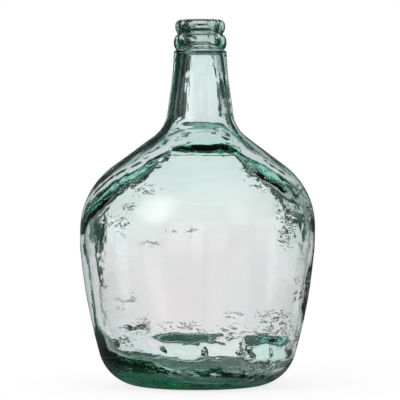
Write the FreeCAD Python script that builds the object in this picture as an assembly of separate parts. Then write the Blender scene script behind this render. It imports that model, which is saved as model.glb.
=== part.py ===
"""A four-litre glass carboy: one blown wall, with a collar and a lip laid round the top of its neck.

Lengths are in millimetres, +Z is up, and the origin is the centre of the ring that the carboy stands on.
The wall is drawn once, as half of its section in the XZ plane, and each node is its share of that section
turned about Z, so that neighbours meet face to face and the glass has no gap in it.
"""

import FreeCAD, Part  # noqa: E401, I001  FreeCAD has to come first
import math
import os

Vector = FreeCAD.Vector

# Foot: the carboy stands on a flat ring, and the floor inside that ring is pushed up.
HEEL_RADIUS = 72.9
HEEL_ROUND = 35.5
FOOT_WIDTH = 35.9
PUNT_RISE = 7.0
FLOOR_THICKNESS = 6.5
FLOOR_FLAT_RADIUS = 24.0
FLOOR_ROUND = 110.0

# Body: corners of the outer outline, each with its rise above the corner before it and its rounding.
KNEE_RADIUS = 90.3
KNEE_RISE = 61.0
KNEE_ROUND = 430.0
BELLY_RADIUS = 96.7
BELLY_RISE = 53.0
BELLY_ROUND = 80.0
SHOULDER_RISE = 47.0
SHOULDER_ROUND = 64.0

# Neck: it widens downwards from its top to its waist, and again from there to its root.
NECK_ROOT_SPREAD = 6.0
NECK_ROOT_RISE = 50.4
NECK_ROOT_ROUND = 27.5
NECK_WAIST_SPREAD = 1.3
NECK_WAIST_RISE = 43.9
NECK_WAIST_ROUND = 88.0
NECK_TOP_STEP = 3.5
NECK_TOP_RISE = 19.9
NECK_TOP_ROUND = 1.4

# Thickness of the glass at each of those corners. Blown glass is thick low down and thin at its widest.
HEEL_WALL = 6.0
KNEE_WALL = 4.0
BELLY_WALL = 3.3
SHOULDER_WALL = 3.5
NECK_ROOT_WALL = 5.0
NECK_WAIST_WALL = 6.0

# Mouth: a straight bore that takes a bung, and the neck's own glass round it, which the two rings sit on.
BORE_RADIUS = 13.5
BORE_FOOT_ROUND = 27.0
MOUTH_WALL = 4.5
MOUTH_ROUND = 1.6

# Rings: the collar is a round bead, and the lip over it flares from the groove between them.
COLLAR_HEIGHT = 12.6
COLLAR_BULGE = 3.75
COLLAR_FOOT_STEP = 1.1
GROOVE_STEP = 0.2
LIP_BULGE = 2.5
LIP_FLARE_HEIGHT = 4.6
LIP_SIDE_HEIGHT = 7.6
LIP_SIDE_ROUND = 3.4
LIP_TOP_ROUND = 4.2

# Where the wall is divided into nodes, measured from the floor and from the corners.
HEEL_ABOVE_FLOOR = 16.5
SHOULDER_FOOT_DROP = 13.0
SLOPE_FOOT_RISE = 20.0
NECK_ROOT_FOOT_DROP = 7.4
NECK_FOOT_RISE = 15.6

# Radii and heights that follow from the sizes above.
FOOT_INNER_RADIUS = HEEL_RADIUS - FOOT_WIDTH
RING_SEAT_RADIUS = BORE_RADIUS + MOUTH_WALL
GROOVE_RADIUS = RING_SEAT_RADIUS + GROOVE_STEP
LIP_RADIUS = RING_SEAT_RADIUS + LIP_BULGE
NECK_TOP_RADIUS = RING_SEAT_RADIUS + NECK_TOP_STEP
NECK_WAIST_RADIUS = NECK_TOP_RADIUS + NECK_WAIST_SPREAD
NECK_ROOT_RADIUS = NECK_WAIST_RADIUS + NECK_ROOT_SPREAD
FLOOR_HEIGHT = PUNT_RISE + FLOOR_THICKNESS
HEEL_TOP = FLOOR_HEIGHT + HEEL_ABOVE_FLOOR
BELLY_HEIGHT = KNEE_RISE + BELLY_RISE
SHOULDER_HEIGHT = BELLY_HEIGHT + SHOULDER_RISE
SHOULDER_FOOT = SHOULDER_HEIGHT - SHOULDER_FOOT_DROP
SLOPE_FOOT = SHOULDER_HEIGHT + SLOPE_FOOT_RISE
NECK_ROOT_HEIGHT = SHOULDER_HEIGHT + NECK_ROOT_RISE
NECK_ROOT_FOOT = NECK_ROOT_HEIGHT - NECK_ROOT_FOOT_DROP
NECK_FOOT = NECK_ROOT_HEIGHT + NECK_FOOT_RISE
NECK_WAIST_HEIGHT = NECK_ROOT_HEIGHT + NECK_WAIST_RISE
NECK_TOP_HEIGHT = NECK_WAIST_HEIGHT + NECK_TOP_RISE
COLLAR_TOP = NECK_TOP_HEIGHT + COLLAR_HEIGHT
MOUTH_HEIGHT = COLLAR_TOP + LIP_FLARE_HEIGHT + LIP_SIDE_HEIGHT

# A radius and a depth that lie clear outside the glass, and how much of a side its two arcs may take.
OUTSIDE = 2 * BELLY_RADIUS
BELOW = -FLOOR_THICKNESS
ROUND_RATIO = 0.995


def at(radius, height):
    """A point of the half section."""
    return Vector(radius, 0, height)


def turn_at(before, corner, after):
    """The signed angle by which an outline turns at a corner."""
    into = corner - before
    out = after - corner
    return math.atan2(into.x * out.z - into.z * out.x, into.x * out.x + into.z * out.z)


def tangent_lengths(points, rounds):
    """How far from each corner its arc starts, shortened where two arcs would meet on one side."""
    lengths = [0.0] * len(points)
    for i in range(1, len(points) - 1):
        lengths[i] = rounds[i] * math.tan(abs(turn_at(*points[i - 1 : i + 2])) / 2)
    room = [1.0] * len(points)
    for i in range(len(points) - 1):
        side = (points[i + 1] - points[i]).Length
        share = min(1.0, ROUND_RATIO * side / max(lengths[i] + lengths[i + 1], 1e-9))
        room[i] = min(room[i], share)
        room[i + 1] = min(room[i + 1], share)
    return [length * share for length, share in zip(lengths, room)]


def rounded_edges(corners):
    """Edges along corners given as (point, rounding radius), with a tangent arc at each rounded corner."""
    points = [point for point, _ in corners]
    lengths = tangent_lengths(points, [radius for _, radius in corners])
    edges = []
    start = points[0]
    for i in range(1, len(points) - 1):
        if lengths[i] <= 0:
            edges.append(Part.makeLine(start, points[i]))
            start = points[i]
            continue
        back = (points[i - 1] - points[i]).normalize()
        ahead = (points[i + 1] - points[i]).normalize()
        first = points[i] + back * lengths[i]
        last = points[i] + ahead * lengths[i]
        half = abs(turn_at(*points[i - 1 : i + 2])) / 2
        sagitta = lengths[i] * math.cos(half) * math.tan(half / 2)
        chord_middle = (first + last) * 0.5
        middle = chord_middle + (points[i] - chord_middle).normalize() * sagitta
        edges.append(Part.makeLine(start, first))
        edges.append(Part.Arc(first, middle, last).toShape())
        start = last
    edges.append(Part.makeLine(start, points[-1]))
    return edges


def inner_corner(before, corner, after, wall):
    """The corner moved inwards, so that the glass is `wall` thick on both of its sides."""
    into = (corner[0] - before[0]).normalize()
    out = (after[0] - corner[0]).normalize()
    inwards = Vector(-into.z - out.z, 0, into.x + out.x).normalize()
    half = turn_at(before[0], corner[0], after[0]) / 2
    bend = -wall if half > 0 else wall
    return corner[0] + inwards * (wall / math.cos(half)), max(corner[1] + bend, wall)


def outer_corners():
    """Corners of the outside, from the standing ring to the top of the neck."""
    return [
        (at(FOOT_INNER_RADIUS, 0), 0),
        (at(HEEL_RADIUS, 0), HEEL_ROUND),
        (at(KNEE_RADIUS, KNEE_RISE), KNEE_ROUND),
        (at(BELLY_RADIUS, BELLY_HEIGHT), BELLY_ROUND),
        (at(BELLY_RADIUS, SHOULDER_HEIGHT), SHOULDER_ROUND),
        (at(NECK_ROOT_RADIUS, NECK_ROOT_HEIGHT), NECK_ROOT_ROUND),
        (at(NECK_WAIST_RADIUS, NECK_WAIST_HEIGHT), NECK_WAIST_ROUND),
        (at(NECK_TOP_RADIUS, NECK_TOP_HEIGHT), NECK_TOP_ROUND),
        (at(RING_SEAT_RADIUS + COLLAR_FOOT_STEP, NECK_TOP_HEIGHT), 0),
    ]


def inner_corners():
    """Corners of the hollow, from the middle of the floor to the mouth."""
    outer = outer_corners()
    walls = [HEEL_WALL, KNEE_WALL, BELLY_WALL, SHOULDER_WALL, NECK_ROOT_WALL, NECK_WAIST_WALL]
    hollow = [(at(0, FLOOR_HEIGHT), 0), (at(FLOOR_FLAT_RADIUS, FLOOR_HEIGHT), FLOOR_ROUND)]
    for i, wall in enumerate(walls, start=1):
        hollow.append(inner_corner(outer[i - 1], outer[i], outer[i + 1], wall))
    hollow.append((at(BORE_RADIUS, NECK_TOP_HEIGHT), BORE_FOOT_ROUND))
    hollow.append((at(BORE_RADIUS, MOUTH_HEIGHT), MOUTH_ROUND))
    return hollow


def collar_edge():
    """The collar's round outside, from its foot on the neck to the groove under the lip."""
    foot = at(RING_SEAT_RADIUS + COLLAR_FOOT_STEP, NECK_TOP_HEIGHT)
    crest = at(RING_SEAT_RADIUS + COLLAR_BULGE, NECK_TOP_HEIGHT + COLLAR_HEIGHT / 2)
    return Part.Arc(foot, crest, at(GROOVE_RADIUS, COLLAR_TOP)).toShape()


def lip_corners():
    """Corners of the lip's outside, from the groove under it."""
    return [
        (at(GROOVE_RADIUS, COLLAR_TOP), 0),
        (at(LIP_RADIUS, COLLAR_TOP + LIP_FLARE_HEIGHT), LIP_SIDE_ROUND),
        (at(LIP_RADIUS, MOUTH_HEIGHT), LIP_TOP_ROUND),
    ]


def punt_height(radius):
    """Height of the pushed-up floor's underside, a cap of a sphere, at a radius."""
    sphere = (FOOT_INNER_RADIUS**2 + PUNT_RISE**2) / (2 * PUNT_RISE)
    return math.sqrt(sphere**2 - radius**2) - (sphere - PUNT_RISE)


def wall_section():
    """Half of the carboy's section: one closed face beside the axis."""
    punt = at(FOOT_INNER_RADIUS / 2, punt_height(FOOT_INNER_RADIUS / 2))
    edges = [Part.Arc(at(0, PUNT_RISE), punt, at(FOOT_INNER_RADIUS, 0)).toShape()]
    edges += rounded_edges(outer_corners())
    edges.append(collar_edge())
    edges += rounded_edges(lip_corners() + inner_corners()[::-1])
    edges.append(Part.makeLine(at(0, FLOOR_HEIGHT), at(0, PUNT_RISE)))
    return Part.Face(Part.Wire(edges))


def hollow_section():
    """Half of the section of what the carboy holds, up to its brim."""
    edges = rounded_edges(inner_corners())
    edges.append(Part.makeLine(at(BORE_RADIUS, MOUTH_HEIGHT), at(0, MOUTH_HEIGHT)))
    edges.append(Part.makeLine(at(0, MOUTH_HEIGHT), at(0, FLOOR_HEIGHT)))
    return Part.Face(Part.Wire(edges))


def block(radius_from, radius_to, height_from, height_to):
    """A rectangle of the half section."""
    corners = [
        at(radius_from, height_from),
        at(radius_to, height_from),
        at(radius_to, height_to),
        at(radius_from, height_to),
    ]
    return Part.Face(Part.makePolygon(corners + corners[:1]))


def foot_outer_radius():
    """Where the flat standing ring ends and the heel starts to curve."""
    corners = outer_corners()
    lengths = tangent_lengths([point for point, _ in corners], [radius for _, radius in corners])
    return HEEL_RADIUS - lengths[1]


def node_blocks():
    """Each node's share of the half section, by name."""
    foot = foot_outer_radius()
    neck_tube = block(0, OUTSIDE, NECK_FOOT, NECK_TOP_HEIGHT)
    mouth_tube = block(0, RING_SEAT_RADIUS, NECK_TOP_HEIGHT, MOUTH_HEIGHT)
    return {
        "base": block(0, foot, BELOW, HEEL_TOP),
        "heel": block(foot, OUTSIDE, BELOW, HEEL_TOP),
        "body_wall": block(0, OUTSIDE, HEEL_TOP, BELLY_HEIGHT),
        "belly": block(0, OUTSIDE, BELLY_HEIGHT, SHOULDER_FOOT),
        "shoulder": block(0, OUTSIDE, SHOULDER_FOOT, SLOPE_FOOT),
        "shoulder_slope": block(0, OUTSIDE, SLOPE_FOOT, NECK_ROOT_FOOT),
        "neck_root": block(0, OUTSIDE, NECK_ROOT_FOOT, NECK_FOOT),
        "neck": neck_tube.fuse(mouth_tube),
        "collar": block(RING_SEAT_RADIUS, OUTSIDE, NECK_TOP_HEIGHT, COLLAR_TOP),
        "lip": block(RING_SEAT_RADIUS, OUTSIDE, COLLAR_TOP, MOUTH_HEIGHT),
    }


def turned(section):
    """The solid that a share of the section sweeps out about Z."""
    face = max(section.removeSplitter().Faces, key=lambda piece: piece.Area)
    return face.revolve(Vector(), Vector(0, 0, 1), 360)


def main():
    """Builds each node, writes its STEP file and prints the carboy's own figures."""
    os.makedirs("parts", exist_ok=True)
    section = wall_section()
    glass = 0.0
    for name, share in node_blocks().items():
        shape = turned(section.common(share))
        assert shape.isValid() and len(shape.Solids) == 1, name
        shape.exportStep(f"parts/{name}.step")
        glass += shape.Volume
        box = shape.optimalBoundingBox()
        print(f"{name}: {shape.Volume / 1000:.1f} cm3, z {box.ZMin:.1f} to {box.ZMax:.1f}, r {box.XMax:.1f}")
    held = turned(hollow_section().common(block(0, OUTSIDE, BELOW, NECK_ROOT_HEIGHT)))
    print(f"glass {glass / 1000:.0f} cm3, holds {held.Volume / 1e6:.2f} litres to the neck's root")


main()
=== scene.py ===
"""A four-litre carboy of rippled, pale green blown glass, standing by itself in a plain white studio.

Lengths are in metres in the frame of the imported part: +Z is up, and the carboy stands on Z = 0 with its axis
on the Z axis. The front faces -Y, and azimuths are counted from there in degrees, towards +X.

The glass is one closed wall, outside and inside, because that is what light passes through. Its half section
is drawn from named sizes, and a Geometry Nodes tree turns it about the axis, ripples it and lays folds on it.
The studio round it has pale backdrops with dark gaps between them, which is what draws the edges of clear
glass.
"""

import logging
import math
from dataclasses import dataclass, field, fields
from enum import Enum
from typing import Any, Callable

import bpy
import numpy as np
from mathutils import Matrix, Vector


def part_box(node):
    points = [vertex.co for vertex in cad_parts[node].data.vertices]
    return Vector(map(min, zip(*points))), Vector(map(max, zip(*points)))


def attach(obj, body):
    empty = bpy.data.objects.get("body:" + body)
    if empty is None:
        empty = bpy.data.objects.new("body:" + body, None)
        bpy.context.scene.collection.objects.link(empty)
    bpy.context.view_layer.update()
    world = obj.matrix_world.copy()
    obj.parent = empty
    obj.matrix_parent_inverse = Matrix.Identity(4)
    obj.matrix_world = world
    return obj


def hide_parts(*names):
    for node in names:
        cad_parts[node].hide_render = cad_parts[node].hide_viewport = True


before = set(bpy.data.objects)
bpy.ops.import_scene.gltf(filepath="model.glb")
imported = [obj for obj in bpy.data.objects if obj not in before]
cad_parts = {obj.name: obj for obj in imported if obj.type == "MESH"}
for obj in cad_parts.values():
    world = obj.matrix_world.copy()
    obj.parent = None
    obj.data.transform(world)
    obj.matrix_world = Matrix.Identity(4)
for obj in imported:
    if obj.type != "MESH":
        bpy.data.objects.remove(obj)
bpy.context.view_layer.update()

LOG = logging.getLogger("carboy")
MM = 0.001
CM3 = 1e-6
DEGREE = math.pi / 180
NOISE_MIDDLE = 0.5
WHITE = (1.0, 1.0, 1.0)
Triple = tuple[float, float, float]
Profile = np.ndarray


class Climb(Enum):
    """How a ramp climbs from 0 to 1."""

    SOFT = "SMOOTHSTEP"
    STRAIGHT = "LINEAR"


class Term:
    """One socket of a node tree, written as a value in a Python expression."""

    def __init__(self, graph: "Graph", socket: bpy.types.NodeSocket) -> None:
        """Wraps a socket of the graph's tree."""
        self.graph = graph
        self.socket = socket

    @property
    def is_vector(self) -> bool:
        """Whether the socket gives a vector."""
        return self.socket.type == "VECTOR"

    def __add__(self, other: Any) -> "Term":
        """Adds."""
        return self.graph.maths("ADD", self, other)

    def __radd__(self, other: Any) -> "Term":
        """Adds, with the number first."""
        return self.graph.maths("ADD", other, self)

    def __sub__(self, other: Any) -> "Term":
        """Subtracts."""
        return self.graph.maths("SUBTRACT", self, other)

    def __rsub__(self, other: Any) -> "Term":
        """Subtracts from a number."""
        return self.graph.maths("SUBTRACT", other, self)

    def __mul__(self, other: Any) -> "Term":
        """Multiplies."""
        return self.graph.maths("MULTIPLY", self, other)

    def __rmul__(self, other: Any) -> "Term":
        """Multiplies, with the number first."""
        return self.graph.maths("MULTIPLY", other, self)

    def __truediv__(self, other: Any) -> "Term":
        """Divides."""
        return self.graph.maths("DIVIDE", self, other)

    def __neg__(self) -> "Term":
        """Changes the sign."""
        return self.graph.maths("MULTIPLY", self, -1.0)


class Graph:
    """Builds one node tree, of a material, the world or a Geometry Nodes group."""

    def __init__(self, tree: bpy.types.NodeTree) -> None:
        """Starts from an empty tree."""
        self.tree = tree
        self.tree.nodes.clear()

    def node(self, kind: str, settings: dict[str, Any] | None = None, **inputs: Any) -> "Made":
        """Adds a node.

        Args:
            kind: The node's type, such as "ShaderNodeMath".
            settings: Its own settings, set before its sockets, such as {"operation": "ADD"}.
            inputs: A value or a Term for each named socket, with _ for a space, or in0, in1 by place.

        Returns:
            The node, ready to give its outputs.
        """
        node = self.tree.nodes.new(kind)
        for name, value in (settings or {}).items():
            setattr(node, name, value)
        made = Made(self, node)
        for name, value in inputs.items():
            self.join(value, made.socket(node.inputs, name))
        return made

    def join(self, value: Any, socket: bpy.types.NodeSocket) -> None:
        """Links a Term to a socket, or writes a plain value on it.

        Args:
            value: A Term, a number, a tuple or a data block.
            socket: The input socket that takes it.
        """
        if isinstance(value, Term):
            self.tree.links.new(value.socket, socket)
        elif socket.type == "RGBA" and len(value) == 3:
            socket.default_value = (*value, 1.0)
        else:
            socket.default_value = value

    def maths(self, operation: str, *values: Any) -> Term:
        """Adds a Math node, or a Vector Math node where a value is a vector.

        Args:
            operation: The node's operation.
            values: Its inputs, in order.

        Returns:
            The result.
        """
        vectors = [isinstance(v, tuple) or getattr(v, "is_vector", False) for v in values]
        if not any(vectors):
            return self.node("ShaderNodeMath", {"operation": operation}, **self.by_place(values)).out()
        spread = [v if vector or isinstance(v, Term) else (v, v, v) for v, vector in zip(values, vectors)]
        return self.node("ShaderNodeVectorMath", {"operation": operation}, **self.by_place(spread)).out()

    @staticmethod
    def by_place(values: Any) -> dict[str, Any]:
        """Names values in0, in1 and so on, for node()."""
        return {f"in{i}": value for i, value in enumerate(values)}

    def vector(self, x: Any, y: Any, z: Any) -> Term:
        """Joins three numbers into a vector."""
        return self.node("ShaderNodeCombineXYZ", X=x, Y=y, Z=z).out()

    def dot(self, one: Term, other: Term) -> Term:
        """The dot product of two vectors."""
        product = self.node("ShaderNodeVectorMath", {"operation": "DOT_PRODUCT"}, in0=one, in1=other)
        return product.out("Value")

    def parts(self, vector: Term) -> tuple[Term, Term, Term]:
        """Splits a vector into its three numbers."""
        split = self.node("ShaderNodeSeparateXYZ", Vector=vector)
        return split.out("X"), split.out("Y"), split.out("Z")

    def mix(self, one: Any, other: Any, share: Term) -> Term:
        """One colour that turns into another as the share goes from 0 to 1."""
        return one * (1 - share) + other * share

    def degrees(self, operation: str, *values: Any) -> Term:
        """An angle in degrees, from an operation that gives it in radians."""
        return self.maths(operation, *values) * (1 / DEGREE)

    def ramp(self, value: Term, low: Any, high: Any, climb: Climb = Climb.SOFT) -> Term:
        """A climb with the value, from 0 below low to 1 above high."""
        settings = {"interpolation_type": climb.value}
        return self.node("ShaderNodeMapRange", settings, Value=value, From_Min=low, From_Max=high).out()

    def window(self, value: Term, start: float, end: float, edge: float) -> Term:
        """1 where the value is between a start and an end, and 0 outside them, with soft edges that wide."""
        rise = self.ramp(value, start - edge, start + edge)
        return rise - self.ramp(value, end - edge, end + edge)

    def noise(
        self, place: Term, scale: Any, detail: float = 1.5, flatten: Any = 1.0, seed: Term | None = None
    ) -> Term:
        """A soft noise, from about 0 to 1.

        Args:
            place: Where it is read.
            scale: How many marks it has in a metre.
            detail: How many finer noises are laid over it.
            flatten: How many times wider than high its marks are.
            seed: What sets it apart from the same noise elsewhere, if anything.

        Returns:
            The noise.
        """
        settings = {"noise_dimensions": "3D" if seed is None else "4D"}
        seeded = {} if seed is None else {"W": seed}
        read = place if flatten == 1.0 else place * self.vector(1.0, 1.0, flatten)
        noise = self.node("ShaderNodeTexNoise", settings, Vector=read, Scale=scale, Detail=detail, **seeded)
        return noise.out("Fac")

    def sway(self, amount: Any, *reading: Any, **more: Any) -> Term:
        """A noise about 0, which stays within about the given amount either way."""
        return (self.noise(*reading, **more) - NOISE_MIDDLE) * (amount * 2)


class Made:
    """A node that a Graph has added."""

    def __init__(self, graph: Graph, node: bpy.types.Node) -> None:
        """Wraps a node of the graph's tree."""
        self.graph = graph
        self.node = node

    @staticmethod
    def socket(sockets: Any, name: str) -> bpy.types.NodeSocket:
        """Finds a socket in use by its name, with _ for a space, or by its place, as in1.

        Args:
            sockets: The node's inputs or outputs.
            name: Its name or place.

        Returns:
            The socket.
        """
        if name[:2] == "in" and name[2:].isdigit():
            return sockets[int(name[2:])]
        wanted = name.replace("_", " ")
        return next(s for s in sockets if s.enabled and s.name == wanted)

    def out(self, name: str | None = None) -> Term:
        """One of the node's outputs.

        Args:
            name: Its name or place, or None for the first in use.

        Returns:
            The output's socket, as a value.
        """
        sockets = self.node.outputs
        found = next(s for s in sockets if s.enabled) if name is None else self.socket(sockets, name)
        return Term(self.graph, found)


def new_material(name: str) -> tuple[bpy.types.Material, Graph]:
    """Makes a material whose tree is still empty.

    Args:
        name: What it is called.

    Returns:
        The material, and the graph that builds its tree.
    """
    material = bpy.data.materials.new(name)
    material.use_nodes = True
    return material, Graph(material.node_tree)


def add(name: str, data: Any) -> bpy.types.Object:
    """Adds an object to the scene.

    Args:
        name: What it is called.
        data: Its mesh, light or camera.

    Returns:
        The object.
    """
    added = bpy.data.objects.new(name, data)
    bpy.context.scene.collection.objects.link(added)
    return added


def hide(thing: bpy.types.Object, *rays: str) -> None:
    """Hides an object from the given kinds of ray, such as "glossy"."""
    for ray in rays:
        setattr(thing, f"visible_{ray}", False)


def look_at(thing: bpy.types.Object, aim: Triple) -> None:
    """Turns a lamp or a camera to look at a point."""
    thing.rotation_euler = (Vector(aim) - thing.location).to_track_quat("-Z", "Y").to_euler()


@dataclass(frozen=True)
class Corner:
    """A corner of the half section, and the radius that it is rounded to."""

    radius: float
    height: float
    round: float = 0.0

    @property
    def point(self) -> np.ndarray:
        """The corner as (distance from the axis, height)."""
        return np.array((self.radius, self.height))


class Outline:
    """A line through rounded corners, and the same line one wall further in."""

    ARC_STEP = 2 * DEGREE
    FEWEST_CHORDS = 2
    ROUND_RATIO = 0.995
    NO_LENGTH = 1e-9

    def __init__(self, corners: list[Corner]) -> None:
        """Keeps the corners, from the first end of the line to its last."""
        self.corners = corners

    @staticmethod
    def turn(before: Corner, corner: Corner, after: Corner) -> float:
        """The signed angle by which the line turns at a corner.

        Args:
            before: The corner before it.
            corner: The corner itself.
            after: The corner after it.

        Returns:
            The angle in radians, above 0 where the line turns to its left.
        """
        into = corner.point - before.point
        out = after.point - corner.point
        return math.atan2(into[0] * out[1] - into[1] * out[0], float(into @ out))

    def reaches(self) -> list[float]:
        """How far from each corner its arc starts, shortened where two arcs would meet.

        Returns:
            One length for each corner.
        """
        corners = self.corners
        lengths = [0.0] * len(corners)
        for i in range(1, len(corners) - 1):
            lengths[i] = corners[i].round * math.tan(abs(self.turn(*corners[i - 1 : i + 2])) / 2)
        room = [1.0] * len(corners)
        for i in range(len(corners) - 1):
            side = float(np.linalg.norm(corners[i + 1].point - corners[i].point))
            share = min(1.0, self.ROUND_RATIO * side / max(lengths[i] + lengths[i + 1], self.NO_LENGTH))
            room[i] = min(room[i], share)
            room[i + 1] = min(room[i + 1], share)
        return [length * share for length, share in zip(lengths, room)]

    def points(self) -> Profile:
        """The line itself, with each arc as short chords.

        Returns:
            Points as rows of (distance from the axis, height).
        """
        corners, lengths = self.corners, self.reaches()
        line = [corners[0].point]
        for i in range(1, len(corners) - 1):
            if lengths[i] <= 0:
                line.append(corners[i].point)
                continue
            turn = self.turn(*corners[i - 1 : i + 2])
            along = corners[i].point - corners[i - 1].point
            along = along / np.linalg.norm(along)
            side = np.array((-along[1], along[0])) * math.copysign(1.0, turn)
            radius = lengths[i] / math.tan(abs(turn) / 2)
            start = corners[i].point - along * lengths[i]
            chords = max(self.FEWEST_CHORDS, math.ceil(abs(turn) / self.ARC_STEP))
            for share in np.linspace(0, 1, chords + 1):
                angle = share * abs(turn)
                line.append(start + radius * (math.sin(angle) * along + (1 - math.cos(angle)) * side))
        line.append(corners[-1].point)
        return np.array(line)

    def inset(self, walls: list[float]) -> list[Corner]:
        """The inner corners moved to the line's left, so that a wall of the given thickness lies between.

        Args:
            walls: The wall's thickness at each corner but the first and the last.

        Returns:
            The moved corners.
        """
        moved = []
        for i, wall in enumerate(walls, start=1):
            before, corner, after = self.corners[i - 1 : i + 2]
            into = (corner.point - before.point) / np.linalg.norm(corner.point - before.point)
            out = (after.point - corner.point) / np.linalg.norm(after.point - corner.point)
            inwards = np.array((-into[1] - out[1], into[0] + out[0]))
            turn = self.turn(before, corner, after)
            point = corner.point + inwards / np.linalg.norm(inwards) * wall / math.cos(turn / 2)
            bend = -wall if turn > 0 else wall
            moved.append(Corner(point[0], point[1], max(corner.round + bend, wall)))
        return moved


@dataclass(frozen=True)
class Wall:
    """Thickness of the glass at the corners of its outline, from the heel up."""

    heel: float = 4.6 * MM
    knee: float = 4.4 * MM
    belly: float = 4.4 * MM
    shoulder: float = 4.9 * MM
    neck_root: float = 5.2 * MM
    neck_waist: float = 4.2 * MM
    neck_top: float = 4.8 * MM

    def upwards(self) -> list[float]:
        """The thicknesses in order."""
        return [self.heel, self.knee, self.belly, self.shoulder, self.neck_root, self.neck_waist]


@dataclass
class Section:
    """Half of the carboy's section: the outside from the punt to the lip, then the hollow back down."""

    heel_radius: float = 72.9 * MM
    heel_round: float = 35.5 * MM
    foot_inner_radius: float = 37.0 * MM
    punt_rise: float = 7.0 * MM
    floor_flat_radius: float = 24.0 * MM
    floor_round: float = 110.0 * MM
    knee_radius: float = 90.3 * MM
    knee_height: float = 61.0 * MM
    knee_round: float = 430.0 * MM
    belly_round: float = 80.0 * MM
    shoulder_rise: float = 13.0 * MM
    shoulder_round: float = 64.0 * MM
    neck_root_radius: float = 28.8 * MM
    neck_root_rise: float = 7.4 * MM
    neck_root_round: float = 27.5 * MM
    neck_waist_radius: float = 22.8 * MM
    neck_waist_drop: float = 19.9 * MM
    neck_waist_round: float = 88.0 * MM
    neck_top_radius: float = 21.5 * MM
    neck_top_round: float = 1.4 * MM
    bore_radius: float = 13.5 * MM
    bore_foot_rise: float = 8.0 * MM
    bore_foot_drop: float = 5.0 * MM
    bore_foot_round: float = 20.0 * MM
    bore_drop_round: float = 40.0 * MM
    mouth_round: float = 2.2 * MM
    collar_foot_radius: float = 19.3 * MM
    groove_radius: float = 18.3 * MM
    groove_round: float = 0.9 * MM
    bead_from: float = 0.12
    bead_to: float = 0.88
    bead_corners: int = 9
    hollow_foot: float = 10.0 * MM
    hollow_round: float = 24.0 * MM
    floor_rise: float = 2.0 * MM
    lip_flare: float = 4.6 * MM
    lip_side_round: float = 3.4 * MM
    lip_top_round: float = 4.2 * MM
    wall: Wall = field(default_factory=Wall)
    outer_pitch: float = 1.8 * MM
    inner_pitch: float = 2.4 * MM
    rings_pitch: float = 0.75 * MM
    rings_margin: float = 2.0 * MM
    punt_points: int = 24
    fine_points: int = 20000
    fewest_steps: int = 2
    same_place: float = 1e-7

    def __post_init__(self) -> None:
        """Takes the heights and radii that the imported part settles."""
        self.belly_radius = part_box("belly")[1].x
        self.belly_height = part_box("belly")[0].z
        self.shoulder_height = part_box("shoulder")[0].z + self.shoulder_rise
        self.neck_root_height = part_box("neck_root")[0].z + self.neck_root_rise
        self.neck_top_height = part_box("collar")[0].z
        self.collar_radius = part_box("collar")[1].x
        self.collar_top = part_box("lip")[0].z
        self.lip_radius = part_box("lip")[1].x
        self.mouth_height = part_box("neck")[1].z
        self.floor_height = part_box("base")[1].z + self.floor_rise

    def outer_corners(self) -> list[Corner]:
        """Corners of the outside, from the standing ring to the top of the neck.

        Returns:
            The corners, from the bottom up.
        """
        waist_height = self.neck_top_height - self.neck_waist_drop
        return [
            Corner(self.foot_inner_radius, 0),
            Corner(self.heel_radius, 0, self.heel_round),
            Corner(self.knee_radius, self.knee_height, self.knee_round),
            Corner(self.belly_radius, self.belly_height, self.belly_round),
            Corner(self.belly_radius, self.shoulder_height, self.shoulder_round),
            Corner(self.neck_root_radius, self.neck_root_height, self.neck_root_round),
            Corner(self.neck_waist_radius, waist_height, self.neck_waist_round),
            Corner(self.neck_top_radius, self.neck_top_height, self.neck_top_round),
            Corner(self.collar_foot_radius, self.neck_top_height),
        ]

    def ring_corners(self) -> list[Corner]:
        """Corners of the collar and the lip, from the top of the neck to the mouth's edge.

        Returns:
            The corners, from the bottom up.
        """
        crest = (self.neck_top_height + self.collar_top) / 2
        half = (self.collar_top - self.neck_top_height) / 2
        bulge = self.collar_radius - self.groove_radius
        bead = [
            Corner(self.groove_radius + bulge * math.sin(angle), crest - half * math.cos(angle))
            for angle in np.linspace(self.bead_from, self.bead_to, self.bead_corners) * math.pi
        ]
        return [
            Corner(self.collar_foot_radius, self.neck_top_height),
            *bead,
            Corner(self.groove_radius, self.collar_top, self.groove_round),
            Corner(self.lip_radius, self.collar_top + self.lip_flare, self.lip_side_round),
            Corner(self.lip_radius, self.mouth_height, self.lip_top_round),
            Corner(self.bore_radius, self.mouth_height, self.mouth_round),
            Corner(self.bore_radius, self.mouth_height - self.lip_flare),
        ]

    def hollow_corners(self) -> list[Corner]:
        """Corners of the hollow, from the mouth down to the middle of the floor.

        Returns:
            The corners, from the top down.
        """
        heel, *walls = Outline(self.outer_corners()).inset(self.wall.upwards())
        steepness = (walls[0].radius - heel.radius) / (walls[0].height - heel.height)
        heel_radius = heel.radius + (self.hollow_foot - heel.height) * steepness
        drop_radius = self.neck_top_radius - self.wall.neck_top
        return [
            Corner(self.bore_radius, self.mouth_height - self.lip_flare),
            Corner(self.bore_radius, self.neck_top_height + self.bore_foot_rise, self.bore_foot_round),
            Corner(drop_radius, self.neck_top_height - self.bore_foot_drop, self.bore_drop_round),
            *reversed(walls),
            Corner(heel_radius, self.hollow_foot, self.hollow_round),
            Corner(self.floor_flat_radius, self.floor_height, self.floor_round),
            Corner(0, self.floor_height),
        ]

    def punt(self) -> Profile:
        """The pushed-up underside, a cap of a sphere, from the axis to the standing ring.

        Returns:
            Points as rows of (distance from the axis, height).
        """
        sphere = (self.foot_inner_radius**2 + self.punt_rise**2) / (2 * self.punt_rise)
        radius = np.linspace(0, self.foot_inner_radius, self.punt_points)
        return np.column_stack((radius, np.sqrt(sphere**2 - radius**2) - (sphere - self.punt_rise)))

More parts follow.
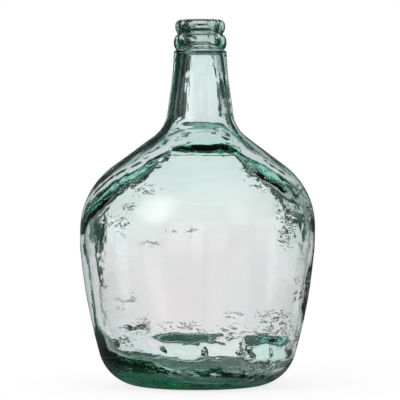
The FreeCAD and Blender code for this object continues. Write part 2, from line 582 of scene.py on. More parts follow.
    def even(self, line: Profile, pitch: Callable[[np.ndarray], np.ndarray]) -> Profile:
        """The line with its points spread at a pitch that may change with height.

        Args:
            line: Points as rows of (distance from the axis, height).
            pitch: The wanted distance between points at each height.

        Returns:
            The new points, with both ends kept.
        """
        keep = np.r_[True, np.linalg.norm(np.diff(line, axis=0), axis=1) > self.same_place]
        line = line[keep]
        lengths = np.r_[0, np.cumsum(np.linalg.norm(np.diff(line, axis=0), axis=1))]
        fine = np.linspace(0, lengths[-1], self.fine_points)
        fine_line = np.column_stack([np.interp(fine, lengths, line[:, k]) for k in (0, 1)])
        counts = np.r_[0, np.cumsum(np.diff(fine) / pitch(fine_line[1:, 1]))]
        wanted = np.linspace(0, counts[-1], max(self.fewest_steps, round(counts[-1])) + 1)
        return np.column_stack([np.interp(wanted, counts, fine_line[:, k]) for k in (0, 1)])

    def loop(self) -> tuple[Profile, np.ndarray]:
        """The whole half section, from the axis under the punt to the axis on the floor.

        Returns:
            The points, and for each point 1 where it is inside the carboy and 0 where it is outside.
        """
        rings_foot = self.neck_top_height - self.rings_margin

        def rings_or(pitch: float) -> Callable[[np.ndarray], np.ndarray]:
            """A pitch that is fine at the rings, and the given one below them."""
            return lambda height: np.where(height > rings_foot, self.rings_pitch, pitch)

        rings = Outline(self.ring_corners()).points()
        outside = np.vstack((self.punt()[:-1], Outline(self.outer_corners()).points()[:-1], rings))
        outer = self.even(outside, rings_or(self.outer_pitch))
        inner = self.even(Outline(self.hollow_corners()).points(), rings_or(self.inner_pitch))
        inside = np.r_[np.zeros(len(outer)), np.ones(len(inner) - 1)]
        return np.vstack((outer, inner[1:])), inside


@dataclass(frozen=True)
class Wrinkle:
    """A patch of skin that chilled early and set rougher than the glass round it."""

    azimuth: float
    height: float
    half_width: float
    half_height: float

    def felt(self, points: np.ndarray) -> np.ndarray:
        """How strongly the patch is felt at each point.

        Args:
            points: Places on the glass, as rows of x, y and z.

        Returns:
            A number from 0 to 1 for each.
        """
        radius = np.hypot(points[:, 0], points[:, 1])
        turn = np.arctan2(points[:, 0], -points[:, 1]) - self.azimuth * DEGREE
        along = radius * ((turn + math.pi) % (2 * math.pi) - math.pi) / self.half_width
        return np.exp(-(along**2) - ((points[:, 2] - self.height) / self.half_height) ** 2)


@dataclass(frozen=True)
class Skin:
    """Where the skin is rough: the patches that show in front, and others strewn round the rest."""

    patches: tuple[Wrinkle, ...] = (
        Wrinkle(-43.0, 0.164, 11.0 * MM, 3.2 * MM),
        Wrinkle(-29.0, 0.160, 10.0 * MM, 3.0 * MM),
        Wrinkle(-36.0, 0.1475, 6.0 * MM, 2.0 * MM),
        Wrinkle(-39.0, 0.133, 6.0 * MM, 6.0 * MM),
        Wrinkle(-49.0, 0.137, 6.0 * MM, 2.5 * MM),
        Wrinkle(-13.0, 0.130, 3.5 * MM, 2.0 * MM),
        Wrinkle(-3.5, 0.1295, 5.0 * MM, 1.5 * MM),
        Wrinkle(-23.0, 0.119, 9.0 * MM, 1.5 * MM),
        Wrinkle(48.0, 0.131, 7.0 * MM, 11.0 * MM),
        Wrinkle(37.0, 0.167, 8.0 * MM, 5.0 * MM),
        Wrinkle(19.0, 0.063, 8.0 * MM, 2.5 * MM),
        Wrinkle(46.0, 0.057, 15.0 * MM, 7.0 * MM),
        Wrinkle(-7.0, 0.0530, 16.0 * MM, 3.5 * MM),
        Wrinkle(17.0, 0.0500, 12.0 * MM, 4.5 * MM),
        Wrinkle(46.0, 0.0480, 22.0 * MM, 4.0 * MM),
        Wrinkle(-44.0, 0.040, 7.0 * MM, 2.5 * MM),
    )
    strewn: int = 18
    strewn_from: float = 65.0
    strewn_to: float = 150.0
    strewn_low: float = 35.0 * MM
    strewn_high: float = 175.0 * MM
    strewn_width: tuple[float, float] = (4.0 * MM, 13.0 * MM)
    strewn_height: tuple[float, float] = (1.5 * MM, 6.0 * MM)
    seed: int = 11

    def others(self) -> list[Wrinkle]:
        """Patches on the sides and the back, drawn at random.

        Returns:
            The patches.
        """
        draw = np.random.default_rng(self.seed)
        return [
            Wrinkle(
                draw.choice((-1, 1)) * draw.uniform(self.strewn_from, self.strewn_to),
                draw.uniform(self.strewn_low, self.strewn_high),
                draw.uniform(*self.strewn_width),
                draw.uniform(*self.strewn_height),
            )
            for _ in range(self.strewn)
        ]

    def mark(self, mesh: bpy.types.Mesh) -> None:
        """Writes how rough each point of the glass is.

        Args:
            mesh: The glass.
        """
        points = np.array([vertex.co for vertex in mesh.vertices])
        felt = np.max([patch.felt(points) for patch in (*self.patches, *self.others())], axis=0)
        mesh.attributes.new("wrinkle", "FLOAT", "POINT").data.foreach_set("value", felt.astype(np.float32))


@dataclass(frozen=True)
class Fold:
    """A fold of glass that ran over a part already set, between two azimuths in degrees from the front.

    It climbs from its foot over its width and falls away slowly over its tail. The tail lies above the foot,
    or below it where it is less than 0. The foot runs from the start height to the end height, and strays by
    the fraying of the glass there, as many times over as the fold is ragged. The fold fades out some degrees
    either side of its ends. Gaps break it up, and take away the share of its depth that it is patchy.
    """

    start: float
    end: float
    start_height: float
    end_height: float
    width: float
    tail: float
    depth: float
    fade: float
    ragged: float = 1.0
    patchy: float = 0.0

    def lift(self, graph: Graph, turn: Term, height: Term, frayed: Any = 0.0, whole: Any = 1.0) -> Term:
        """How far the fold stands out.

        Args:
            graph: The tree that reads it.
            turn: The azimuth of the place.
            height: Its height.
            frayed: How far the edge of a fold strays there.
            whole: 1 where even a patchy fold is whole, 0 in its gaps.

        Returns:
            The height of the fold in millimetres.
        """
        slope = (self.end_height - self.start_height) / (self.end - self.start)
        edge = (turn - self.start) * slope + self.start_height - frayed * self.ragged
        above = (height - edge) * math.copysign(1.0, self.tail)
        flank = graph.ramp(above, 0.0, self.width, Climb.STRAIGHT)
        back = 1 - graph.ramp(above, self.width, self.width + abs(self.tail))
        kept = 1 - (1 - whole) * self.patchy
        return flank * back * graph.window(turn, self.start, self.end, self.fade) * kept * (self.depth / MM)


@dataclass(frozen=True)
class Folds:
    """The folds of the wall, whose edges fray and wander, with gaps where they are patchy.

    Azimuths end at 180 degrees on either side, so a fold across the back is laid twice, once from each side.
    """

    laid: tuple[Fold, ...] = (
        Fold(-20.0, 38.0, 0.1885, 0.1893, 7.0 * MM, 20.0 * MM, 2.9 * MM, 12.0),
        Fold(40.0, 70.0, 0.1975, 0.1760, 9.0 * MM, -26.0 * MM, 1.3 * MM, 13.0, 0.8),
        Fold(105.0, 200.0, 0.1880, 0.1890, 7.0 * MM, 24.0 * MM, 1.3 * MM, 12.0),
        Fold(-200.0, -105.0, 0.1890, 0.1880, 7.0 * MM, 24.0 * MM, 1.3 * MM, 12.0),
        Fold(-78.0, -34.0, 0.1580, 0.1960, 9.0 * MM, -26.0 * MM, 1.4 * MM, 10.0, 0.8),
        Fold(-22.0, 6.0, 0.0475, 0.0480, 7.5 * MM, -34.0 * MM, 2.5 * MM, 9.0, 1.8, 0.2),
        Fold(6.0, 27.0, 0.0480, 0.0470, 7.5 * MM, -34.0 * MM, 1.5 * MM, 9.0, 1.8, 0.8),
        Fold(27.0, 64.0, 0.0470, 0.0445, 7.5 * MM, -34.0 * MM, 2.6 * MM, 9.0, 1.8, 0.2),
        Fold(122.0, 150.0, 0.0470, 0.0450, 7.0 * MM, -24.0 * MM, 1.1 * MM, 12.0, 1.2, 0.4),
        Fold(-150.0, -122.0, 0.0440, 0.0460, 7.0 * MM, -24.0 * MM, 1.1 * MM, 12.0, 1.2, 0.4),
    )
    fray: float = 1.3 * MM
    fray_scale: float = 160.0
    fray_flatten: float = 1.2
    fray_detail: float = 2.0
    wander: float = 2.5 * MM
    wander_scale: float = 45.0
    degrees_astray: float = 4.0
    gap_scale: float = 75.0
    gap_flatten: float = 1.8
    gap_from: float = 0.36
    gap_to: float = 0.56

    def lift(self, graph: Graph, place: Term) -> Term:
        """How far the folds stand out of the wall.

        Args:
            graph: The tree of the glass's shape.
            place: Where on the glass.

        Returns:
            The height of the folds in millimetres.
        """
        x, y, height = graph.parts(place)
        frayed = graph.sway(self.fray, place, self.fray_scale, self.fray_detail, self.fray_flatten)
        wandering = graph.sway(self.wander, place, self.wander_scale)
        astray = (frayed + wandering) * (self.degrees_astray / MM)
        turn = graph.degrees("ARCTAN2", x, -y) + astray
        gaps = graph.noise(place, self.gap_scale, flatten=self.gap_flatten)
        whole = graph.ramp(gaps, self.gap_from, self.gap_to)
        return sum(fold.lift(graph, turn, height + wandering, frayed, whole) for fold in self.laid)


@dataclass(frozen=True)
class BlownGlass:
    """Clear pale green glass, with the fine ripple on its skin that a hot mould and a paddle leave."""

    ior: float = 1.5
    tint: Triple = (0.1, 0.85, 0.675)
    density: float = 40.0
    heel_tint: Triple = (0.93, 0.99, 0.96)
    heel_from: float = 12.0 * MM
    heel_to: float = 24.0 * MM
    neck_tint: Triple = (0.945, 0.985, 0.985)
    neck_from: float = 0.19
    neck_to: float = 0.207
    rings_tint: Triple = (0.91, 0.905, 0.9)
    rings_from: float = 0.2785
    rings_to: float = 0.2795
    foot_roughness: float = 0.5
    foot_from: float = 1.5 * MM
    foot_to: float = 5.0 * MM
    ripple_depth: float = 0.055 * MM
    ripple_scale: float = 190.0
    ripple_flatten: float = 2.6
    streak_radius: float = 40.0 * MM
    streak_stretch: float = 0.35
    streaks_from: float = 0.178
    streaks_to: float = 0.205
    aside_from: float = 0.8
    aside_full: float = 0.62
    aside_depth: float = 0.08 * MM
    grain_scale: float = 430.0
    grain_depth: float = 0.022 * MM
    crumple_scale: float = 165.0
    crumple_flatten: float = 2.4
    crumple_low: float = 0.57
    crumple_high: float = 0.66
    wrinkle_depth: float = 0.85 * MM
    base_depth: float = 0.18 * MM
    base_from: float = 16.0 * MM
    base_to: float = 28.0 * MM
    lip_depth: float = 0.05 * MM
    lip_from: float = 0.288
    lip_to: float = 0.291
    rings_scale: float = 80.0
    rings_depth: float = 0.9 * MM
    slump_scale: float = 45.0
    slump_depth: float = 2.0 * MM
    crease: Fold = Fold(-32.0, 22.0, 0.2100, 0.2095, 1.4 * MM, 6.0 * MM, 0.3 * MM, 8.0)

    def material(self) -> bpy.types.Material:
        """Builds the material.

        Returns:
            The material, with its colour in the volume and its ripple in the normal.
        """
        material, graph = new_material("blown_glass")
        place = graph.node("ShaderNodeTexCoord").out("Object")
        bump = graph.node("ShaderNodeBump", Strength=1.0, Distance=MM, Height=self.relief(graph, place))
        skin = graph.node(
            "ShaderNodeBsdfPrincipled",
            Base_Color=self.stain(graph, place),
            Roughness=self.matt(graph, place),
            IOR=self.ior,
            Transmission_Weight=1.0,
            Normal=bump.out(),
        )
        inside = graph.node("ShaderNodeVolumeAbsorption", Color=self.tint, Density=self.density)
        graph.node("ShaderNodeOutputMaterial", Surface=skin.out(), Volume=inside.out())
        return material

    def matt(self, graph: Graph, place: Term) -> Term:
        """How rough the skin is: polished all over but for the ground foot that the carboy stands on."""
        _, _, height = graph.parts(place)
        return (1 - graph.ramp(height, self.foot_from, self.foot_to)) * self.foot_roughness

    def stain(self, graph: Graph, place: Term) -> Term:
        """The tint of the skin: none on the body, a little at the heel and the neck, and more on the rings.

        Args:
            graph: The material's tree.
            place: Where on the glass.

        Returns:
            The colour.
        """
        _, _, height = graph.parts(place)
        body = graph.mix(self.heel_tint, WHITE, graph.ramp(height, self.heel_from, self.heel_to))
        neck = graph.mix(body, self.neck_tint, graph.ramp(height, self.neck_from, self.neck_to))
        return graph.mix(neck, self.rings_tint, graph.ramp(height, self.rings_from, self.rings_to))

    def ripple(self, graph: Graph, place: Term, streaked: Term) -> Term:
        """The fine ripple: flat marks in front and behind, and upright streaks on the neck and the sides.

        Args:
            graph: The material's tree.
            place: Where on the glass.
            streaked: 1 on the neck, where only the streaks are left, and 0 on the body.

        Returns:
            Its height in millimetres.
        """
        x, y, height = graph.parts(place)
        round_about = graph.maths("NORMALIZE", graph.vector(x, y, 0.0))
        unrolled = round_about * self.streak_radius + graph.vector(0.0, 0.0, height * self.streak_stretch)
        facing = graph.maths("ABSOLUTE", graph.parts(round_about)[1])
        aside = (1 - graph.ramp(facing, self.aside_full, self.aside_from)) * (1 - streaked)
        flat = graph.noise(place, self.ripple_scale, flatten=self.ripple_flatten)
        upright = graph.noise(unrolled, self.ripple_scale)
        plain = 1 - graph.maths("MAXIMUM", streaked, aside)
        even = (flat * plain + upright * streaked) * (self.ripple_depth / MM)
        return even + upright * aside * (self.aside_depth / MM)

    def relief(self, graph: Graph, place: Term) -> Term:
        """The height of the skin: its ripple and crumpled patches, with grain on the neck and uneven rings.

        The slump of the base and the crease at the neck's root bend both sides of the wall alike, so they
        count the other way inside the carboy.

        Args:
            graph: The material's tree.
            place: Where on the glass.

        Returns:
            The height in millimetres.
        """
        x, y, height = graph.parts(place)
        wrinkle = graph.node("ShaderNodeAttribute", {"attribute_name": "wrinkle"}).out("Fac")
        inside = graph.node("ShaderNodeAttribute", {"attribute_name": "inside"}).out("Fac")
        base = 1 - graph.ramp(height, self.base_from, self.base_to)
        neck = graph.ramp(height, self.streaks_from, self.streaks_to)
        rings = graph.ramp(height, self.rings_from, self.rings_to)
        lip = graph.ramp(height, self.lip_from, self.lip_to)
        marks = graph.noise(place, self.crumple_scale, flatten=self.crumple_flatten)
        rough = wrinkle * self.wrinkle_depth + base * self.base_depth + lip * self.lip_depth
        crumple = graph.ramp(marks, self.crumple_low, self.crumple_high) * (rough * (1 / MM))
        uneven = graph.noise(place, self.rings_scale) * rings * (self.rings_depth / MM)
        grain = graph.noise(place, self.grain_scale) * neck * (self.grain_depth / MM)
        slump = graph.noise(place, self.slump_scale) * base * (self.slump_depth / MM)
        crease = self.crease.lift(graph, graph.degrees("ARCTAN2", x, -y), height)
        skin = self.ripple(graph, place, neck) + crumple + (uneven + grain)
        return skin + (slump + crease) * (1 - inside * 2)


@dataclass(frozen=True)
class Backdrop:
    """One panel or curtain of the studio, by the directions it covers as seen from the glass, in degrees.

    It may slant aside as it rises, by so many degrees for each degree, and it is repeated round the room at
    the spacing that every gives.
    """

    left: float
    right: float
    bottom: float
    top: float
    level: float
    edge: float = 0.8
    slant: float = 0.0
    every: float = 90.0

    def cover(self, graph: Graph, sides: dict[float, Term], height: Term) -> Term:
        """How much of the panel lies in one direction.

        Args:
            graph: The world's tree.
            sides: How far round the direction is from the panel's own middle, for each spacing of its copies.
            height: How high it is.

        Returns:
            The panel's level within it, fading to nothing at its edges.
        """
        across = sides[self.every]
        if self.slant:
            across = across - (height - self.bottom) * self.slant
        wide = graph.window(across, self.left, self.right, self.edge)
        high = graph.window(height, self.bottom, self.top, self.edge)
        return wide * high * self.level


@dataclass(frozen=True)
class Card:
    """A card that stands close behind the neck, curved round it, and changes what one edge of it shows."""

    name: str
    left: float
    right: float
    bottom: float
    top: float
    colour: Triple
    distance: float = 0.15
    steps: int = 6

    def build(self) -> bpy.types.Object:
        """Builds the card, which shows only through the glass.

        Returns:
            The card.
        """
        mesh = bpy.data.meshes.new(self.name)
        corners = []
        for angle in np.linspace(self.left, self.right, self.steps + 1) * DEGREE:
            x, y = math.sin(angle) * self.distance, math.cos(angle) * self.distance
            corners += [(x, y, self.bottom), (x, y, self.top)]
        faces = [(k, k + 2, k + 3, k + 1) for k in range(0, 2 * self.steps, 2)]
        mesh.from_pydata(corners, [], faces)
        card = add(self.name, mesh)
        material, graph = new_material(self.name)
        light = graph.node("ShaderNodeEmission", Color=self.colour, Strength=1.0)
        graph.node("ShaderNodeOutputMaterial", Surface=light.out())
        mesh.materials.append(material)
        hide(card, "camera", "diffuse", "glossy", "shadow")
        return card


@dataclass
class Studio:
    """The room: a white ground for the camera, pale backdrops with dark gaps for the glass, and a lamp."""

    camera_distance: float = 2.0
    camera_height: float = 0.177
    aim_height: float = 0.1522
    camera_aside: float = 2.05 * MM
    lens: float = 219.0
    floor_size: float = 8.0
    floor_drop: float = 0.3 * MM
    floor_glow: float = 0.8
    lamp_place: Triple = (-0.95, -1.1, 0.75)
    lamp_size: tuple[float, float] = (0.5, 0.7)
    lamp_watts: float = 6.0
    cards: tuple[Card, ...] = (
        Card("black_card", -40.0, -13.5, 0.221, 0.31, (0.008, 0.014, 0.012)),
        Card("white_card", 13.5, 18.5, 0.254, 0.31, (0.85, 0.85, 0.85)),
    )
    panels: tuple[Backdrop, ...] = (
        Backdrop(-6.1, 6.9, -0.1, 4.0, 1.0, 0.4),
        Backdrop(-6.8, 6.1, 4.0, 13.5, 1.0, 0.4),
        Backdrop(8.5, 9.2, 1.7, 4.7, 0.9, 0.3, 0.55, every=180.0),
        Backdrop(-9.9, -8.5, 1.5, 3.0, 0.85, 0.3, every=180.0),
        Backdrop(-10.4, -6.9, 3.0, 6.9, 0.85, 0.4, every=180.0),
        Backdrop(11.2, 31.0, 7.5, 26.0, 0.55, 1.0, every=180.0),
        Backdrop(-20.0, -9.0, 22.0, 34.0, 0.4, 2.0, every=180.0),
        Backdrop(-28.0, 7.2, -12.5, -0.1, 1.0, 0.4),
        Backdrop(-28.0, -12.0, -0.1, 2.3, 1.0, 0.4, every=180.0),
        Backdrop(7.2, 31.0, -12.0, -1.1, 1.0, 0.6),
        Backdrop(10.8, 32.0, -1.1, 1.0, 0.85, 0.8, every=180.0),
        Backdrop(14.5, 32.0, 4.0, 7.8, 0.85, 0.8, every=180.0),
        Backdrop(-3.0, 3.5, -16.5, -12.5, 1.0, 1.0),
        Backdrop(-31.0, 31.0, -47.0, -20.0, 0.1, 4.0),
        Backdrop(-50.0, -35.0, -45.0, -6.5, 0.95, 3.0),
        Backdrop(35.0, 50.0, -45.0, -6.5, 0.95, 3.0),
        Backdrop(-50.0, -31.0, -6.0, 4.0, 0.12, 2.0),
        Backdrop(34.0, 50.0, -6.0, 4.0, 0.12, 2.0),
        Backdrop(-50.0, 50.0, -95.0, -47.0, 0.8, 4.0),
        Backdrop(-50.0, 50.0, 42.0, 95.0, 0.35, 3.0),
    )
    curtains: tuple[Backdrop, ...] = (
        Backdrop(-9.2, -6.2, -2.6, 0.3, 1.0, 0.3),
        Backdrop(-10.2, -7.2, -4.3, -2.6, 1.0, 0.3),
        Backdrop(-13.5, -11.5, -9.0, -4.3, 0.6, 0.8, 0.6),
    )
    dark: Triple = (0.006, 0.034, 0.023)
    warm: Triple = (1.17, 0.85, 0.93)
    cool: Triple = (1.15, 0.93, 0.98)
    warm_below: float = -2.5
    cool_above: float = 0.5
    cloud_scale: float = 16.0
    cloud_detail: float = 3.0
    cloud_depth: float = 0.3
    sheen: float = 0.075
    softbox: Triple = (-0.62, -0.62, 0.47)
    softbox_spread: float = 0.34
    softbox_level: float = 4.0

    def world(self) -> None:
        """Builds the world: white to the camera, plain to matt surfaces, and backdrops to the glass."""
        world = bpy.data.worlds.new("studio")
        bpy.context.scene.world = world
        world.use_nodes = True
        graph = Graph(world.node_tree)
        direction = graph.node("ShaderNodeTexCoord").out("Generated")
        path = graph.node("ShaderNodeLightPath")
        through = path.out("Is Transmission Ray")
        glossy = path.out("Is Glossy Ray") * (1 - through)
        plain = 1 - graph.maths("MAXIMUM", glossy, through)
        colour = self.behind(graph, direction) * through + self.mirrored(graph, direction) * glossy
        background = graph.node("ShaderNodeBackground", Color=colour + WHITE * plain, Strength=1.0)
        graph.node("ShaderNodeOutputWorld", Surface=background.out())

    def behind(self, graph: Graph, direction: Term) -> Term:
        """What is seen through the glass: pale panels, with dark gaps and curtains between them.

        Args:
            graph: The world's tree.
            direction: The direction from the glass.

        Returns:
            The colour of the light from there.
        """
        x, y, z = graph.parts(direction)
        round_about = graph.degrees("ARCTAN2", x, y)
        every = sorted({panel.every for panel in (*self.panels, *self.curtains)})
        sides = {period: graph.maths("WRAP", round_about, period / 2, -period / 2) for period in every}
        height = graph.degrees("ARCSINE", z)
        light = sum(panel.cover(graph, sides, height) for panel in self.panels)
        for curtain in self.curtains:
            light = light * (1 - curtain.cover(graph, sides, height))
        cloud = graph.noise(direction, self.cloud_scale, self.cloud_detail)
        light = light * (1 + (cloud - NOISE_MIDDLE) * self.cloud_depth)
        tone = graph.mix(self.warm, self.cool, graph.ramp(height, self.warm_below, self.cool_above))
        return tone * light + self.dark

    def mirrored(self, graph: Graph, direction: Term) -> Term:
        """What the glass's skin mirrors: a plain room, and a soft box with a blurred edge.

        Args:
            graph: The world's tree.
            direction: The direction from the glass.

        Returns:
            The colour of the light from there.
        """
        away = direction - self.softbox
        reach = graph.dot(away, away) * (1 / self.softbox_spread**2)
        spot = graph.maths("EXPONENT", -(reach * reach))
        level = spot * self.softbox_level + self.sheen
        return graph.vector(level, level, level)

    def floor(self) -> bpy.types.Object:
        """Builds the floor, which the camera sees as white but for the carboy's soft shadow.

        Returns:
            The floor.
        """
        half = self.floor_size / 2
        mesh = bpy.data.meshes.new("floor")
        corners = [(-half, -half), (half, -half), (half, half), (-half, half)]
        mesh.from_pydata([(x, y, -self.floor_drop) for x, y in corners], [], [(0, 1, 2, 3)])
        floor = add("floor", mesh)
        material, graph = new_material("white_ground")
        matt = graph.node("ShaderNodeBsdfDiffuse", Color=WHITE)
        glow = graph.node("ShaderNodeEmission", Color=WHITE, Strength=1.0)
        share = graph.node("ShaderNodeLightPath").out("Is Camera Ray") * self.floor_glow
        mixed = graph.node("ShaderNodeMixShader", in0=share, in1=matt.out(), in2=glow.out())
        graph.node("ShaderNodeOutputMaterial", Surface=mixed.out())
        mesh.materials.append(material)
        hide(floor, "transmission", "glossy")
        return floor

    def lamp(self) -> None:
        """Adds a soft box in front and to the left, facing the carboy."""
        light = bpy.data.lights.new("key_softbox", "AREA")
        light.shape = "RECTANGLE"
        light.size, light.size_y = self.lamp_size
        light.energy = self.lamp_watts
        lamp = add("key_softbox", light)
        lamp.location = self.lamp_place
        look_at(lamp, (0, 0, self.aim_height))
        hide(lamp, "glossy", "transmission")

    def camera(self) -> None:
        """Stands the camera in front of the carboy, looking level and a little down."""
        camera = bpy.data.cameras.new("camera")
        camera.lens = self.lens
        viewer = add("camera", camera)
        viewer.location = (self.camera_aside, -self.camera_distance, self.camera_height)
        look_at(viewer, (self.camera_aside, 0, self.aim_height))
        bpy.context.scene.camera = viewer

    def build(self) -> None:
        """Builds the whole studio."""
        self.world()
        self.floor()
        for card in self.cards:
            card.build()
        self.lamp()
        self.camera()
        bpy.context.scene.view_settings.view_transform = "Standard"


@dataclass(frozen=True)
class Blowing:
    """How the blown wall departs from a true turning. Each size is an input of the tree that shapes it."""

    segments: int = 216
    lean: float = 2.2 * MM
    lean_from: float = 0.11
    lean_to: float = 0.23
    bore_aside: float = 0.4 * MM
    bore_aside_from: float = 0.19
    bore_aside_to: float = 0.22
    bore_middle_from: float = 0.265
    bore_middle_to: float = 0.285
    swell_height: float = 0.8 * MM
    swell_scale: float = 14.0
    ripple_height: float = 0.08 * MM
    ripple_scale: float = 70.0
    ripple_flatten: float = 2.2
    foot_fade: float = 22.0 * MM
    floor_tilt: float = 0.06
    floor_tilt_from: float = 18.0 * MM
    floor_tilt_to: float = 55.0 * MM
    folds_outside: float = 0.4
    folds_inside: float = 1.5
    seed: float = 3.0

    def inputs(self) -> dict[str, float]:
        """The tree's inputs by name, such as "Lean From", and this carboy's values for them."""
        return {size.name.replace("_", " ").title(): getattr(self, size.name) for size in fields(self)}


@dataclass
class Carboy:
    """The glass itself: one closed wall, which Geometry Nodes turn from its half section, ripple and fold."""

    SWELL_DETAIL = 1.0
    RIPPLE_DETAIL = 2.0
    SEEDS_APART = 3.0
    SEEDS_APART_INSIDE = 7.0
    WELD = 0.001 * MM

    section: Section = field(default_factory=Section)
    blowing: Blowing = field(default_factory=Blowing)
    folds: Folds = field(default_factory=Folds)
    finish: BlownGlass = field(default_factory=BlownGlass)
    skin: Skin = field(default_factory=Skin)

    def tree(self) -> bpy.types.NodeTree:
        """Builds the Geometry Nodes tree that turns the section's points into the rippled wall.

        Returns:
            The tree, with an input for each of its sizes.
        """
        tree = bpy.data.node_groups.new("turned_glass", "GeometryNodeTree")
        tree.interface.new_socket("Geometry", in_out="INPUT", socket_type="NodeSocketGeometry")
        for name, value in self.blowing.inputs().items():
            kind = "NodeSocketInt" if isinstance(value, int) else "NodeSocketFloat"
            tree.interface.new_socket(name, in_out="INPUT", socket_type=kind)
        tree.interface.new_socket("Material", in_out="INPUT", socket_type="NodeSocketMaterial")
        tree.interface.new_socket("Geometry", in_out="OUTPUT", socket_type="NodeSocketGeometry")
        graph = Graph(tree)
        given = graph.node("NodeGroupInput")
        sizes = {name: given.out(name) for name in self.blowing.inputs()}
        turned = self.turned(graph, sizes["Segments"], given.out("Geometry"))
        blown = self.blown(graph, sizes, self.welded(graph, turned))
        smooth = graph.node("GeometryNodeSetShadeSmooth", Geometry=self.welded(graph, blown))
        realised = graph.node("GeometryNodeRealizeInstances", Geometry=smooth.out())
        finish = given.out("Material")
        dressed = graph.node("GeometryNodeSetMaterial", Geometry=realised.out(), Material=finish)
        graph.node("NodeGroupOutput", Geometry=dressed.out())
        return tree

    def welded(self, graph: Graph, mesh: Term) -> Term:
        """The mesh with the points at its seam and its poles made one."""
        return graph.node("GeometryNodeMergeByDistance", Geometry=mesh, Distance=self.WELD).out()

    @staticmethod
    def inside(graph: Graph) -> Term:
        """1 inside the carboy and 0 outside it, as the section's points say."""
        settings = {"data_type": "FLOAT"}
        return graph.node("GeometryNodeInputNamedAttribute", settings, Name="inside").out("Attribute")

    def turned(self, graph: Graph, segments: Term, section: Term) -> Term:
        """Turns the section's points about the axis, as a grid of their rows and the segments.

        Args:
            graph: The tree.
            segments: How many steps go round.
            section: The section's points.

        Returns:
            The turned mesh, whose seam isn't closed yet.
        """
        size = graph.node("GeometryNodeAttributeDomainSize", {"component": "MESH"}, Geometry=section)
        rows, columns = size.out("Point Count"), segments + 1
        grid = graph.node("GeometryNodeMeshGrid", Vertices_X=rows, Vertices_Y=columns)
        index = graph.node("GeometryNodeInputIndex").out()
        row = graph.maths("FLOOR", (index + 0.5) / columns)
        column = index - row * columns

        def drawn(kind: str, value: Term) -> Term:
            """What the section's point of this row has."""
            return graph.node(
                "GeometryNodeSampleIndex", {"data_type": kind}, Geometry=section, Value=value, Index=row
            ).out()

        radius, _, height = graph.parts(drawn("FLOAT_VECTOR", graph.node("GeometryNodeInputPosition").out()))
        angle = column * (2 * math.pi) / segments
        x, y = radius * graph.maths("COSINE", angle), radius * graph.maths("SINE", angle)
        marked = graph.node(
            "GeometryNodeStoreNamedAttribute",
            {"data_type": "FLOAT", "domain": "POINT"},
            Geometry=grid.out("Mesh"),
            Name="inside",
            Value=drawn("FLOAT", self.inside(graph)),
        )
        where = graph.vector(x, y, height)
        placed = graph.node("GeometryNodeSetPosition", Geometry=marked.out(), Position=where)
        return graph.node("GeometryNodeFlipFaces", Mesh=placed.out()).out()

    def blown(self, graph: Graph, sizes: dict[str, Term], turned: Term) -> Term:
        """Gives the wall its slow swell, ripple and folds, and then leans it, its bore and its floor.

        Args:
            graph: The tree.
            sizes: The tree's inputs.
            turned: The turned mesh.

        Returns:
            The mesh as it was blown.
        """
        place = graph.node("GeometryNodeInputPosition").out()
        normal = graph.node("GeometryNodeInputNormal").out()
        inside = self.inside(graph)
        x, _, height = graph.parts(place)

        def past(name: str) -> Term:
            """How far the height has passed the size's own stretch, from 0 to 1."""
            return graph.ramp(height, sizes[f"{name} From"], sizes[f"{name} To"])

        seed = sizes["Seed"] + inside * self.SEEDS_APART_INSIDE
        swell = graph.sway(sizes["Swell Height"], place, sizes["Swell Scale"], self.SWELL_DETAIL, seed=seed)
        ripple = graph.sway(
            sizes["Ripple Height"],
            place,
            sizes["Ripple Scale"],
            self.RIPPLE_DETAIL,
            sizes["Ripple Flatten"],
            seed + self.SEEDS_APART,
        )
        share = inside * (sizes["Folds Inside"] - sizes["Folds Outside"]) + sizes["Folds Outside"]
        rise = swell + ripple + self.folds.lift(graph, place) * share * MM
        standing = graph.maths("MINIMUM", height / sizes["Foot Fade"], 1.0)
        uneven = graph.node("GeometryNodeSetPosition", Geometry=turned, Offset=normal * (rise * standing))
        bore = inside * past("Bore Aside") * (1 - past("Bore Middle")) * sizes["Bore Aside"]
        lean = past("Lean") * sizes["Lean"]
        tilt = x * inside * (1 - past("Floor Tilt")) * sizes["Floor Tilt"]
        shift = graph.vector(lean + bore, 0.0, -tilt)
        return graph.node("GeometryNodeSetPosition", Geometry=uneven.out(), Offset=shift).out()

    def blank(self) -> bpy.types.Object:
        """The section's points as a mesh that the tree starts from.

        Returns:
            The object, with its points in the XZ plane.
        """
        line, inside = self.section.loop()
        mesh = bpy.data.meshes.new("section")
        mesh.from_pydata([(radius, 0, height) for radius, height in line], [], [])
        mesh.attributes.new("inside", "FLOAT", "POINT").data.foreach_set("value", inside.astype(np.float32))
        return add("section", mesh)

    def build(self) -> bpy.types.Object:
        """Runs the tree and keeps its result as a plain mesh.

        Returns:
            The glass.
        """
        blank = self.blank()
        modifier = blank.modifiers.new("turned_glass", "NODES")
        modifier.node_group = self.tree()
        values = {**self.blowing.inputs(), "Material": self.finish.material()}
        for item in modifier.node_group.interface.items_tree:
            if item.in_out == "INPUT" and item.name in values:
                modifier[item.identifier] = values[item.name]
        graph = bpy.context.evaluated_depsgraph_get()
        mesh = bpy.data.meshes.new_from_object(blank.evaluated_get(graph))
        mesh.name = "glass"
        self.skin.mark(mesh)
        bpy.data.objects.remove(blank)
        glass = add("glass", mesh)
        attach(glass, "root")
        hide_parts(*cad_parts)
        return glass


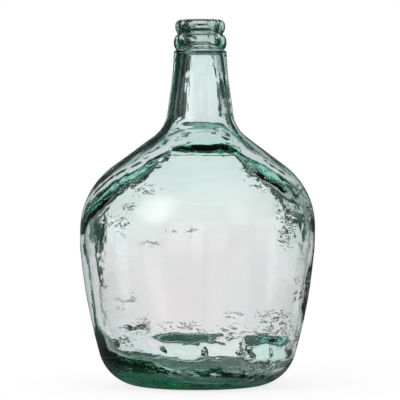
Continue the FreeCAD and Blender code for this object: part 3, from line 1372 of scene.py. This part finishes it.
def volume(mesh: bpy.types.Mesh) -> float:
    """The volume inside a closed mesh.

    Args:
        mesh: The mesh.

    Returns:
        Cubic metres, above 0 where the faces point outwards.
    """
    mesh.calc_loop_triangles()
    points = np.array([v.co for v in mesh.vertices])
    corners = points[np.array([t.vertices for t in mesh.loop_triangles])]
    return float(np.einsum("ij,ij->i", corners[:, 0], np.cross(corners[:, 1], corners[:, 2])).sum() / 6)


def main() -> None:
    """Builds the carboy and its studio."""
    logging.basicConfig(level=logging.INFO, format="%(message)s")
    glass = Carboy().build()
    triangles = sum(len(face.vertices) - 2 for face in glass.data.polygons)
    LOG.info("%s: %d triangles, %.0f cm3", glass.name, triangles, volume(glass.data) / CM3)
    Studio().build()


if __name__ == "__main__":
    main()
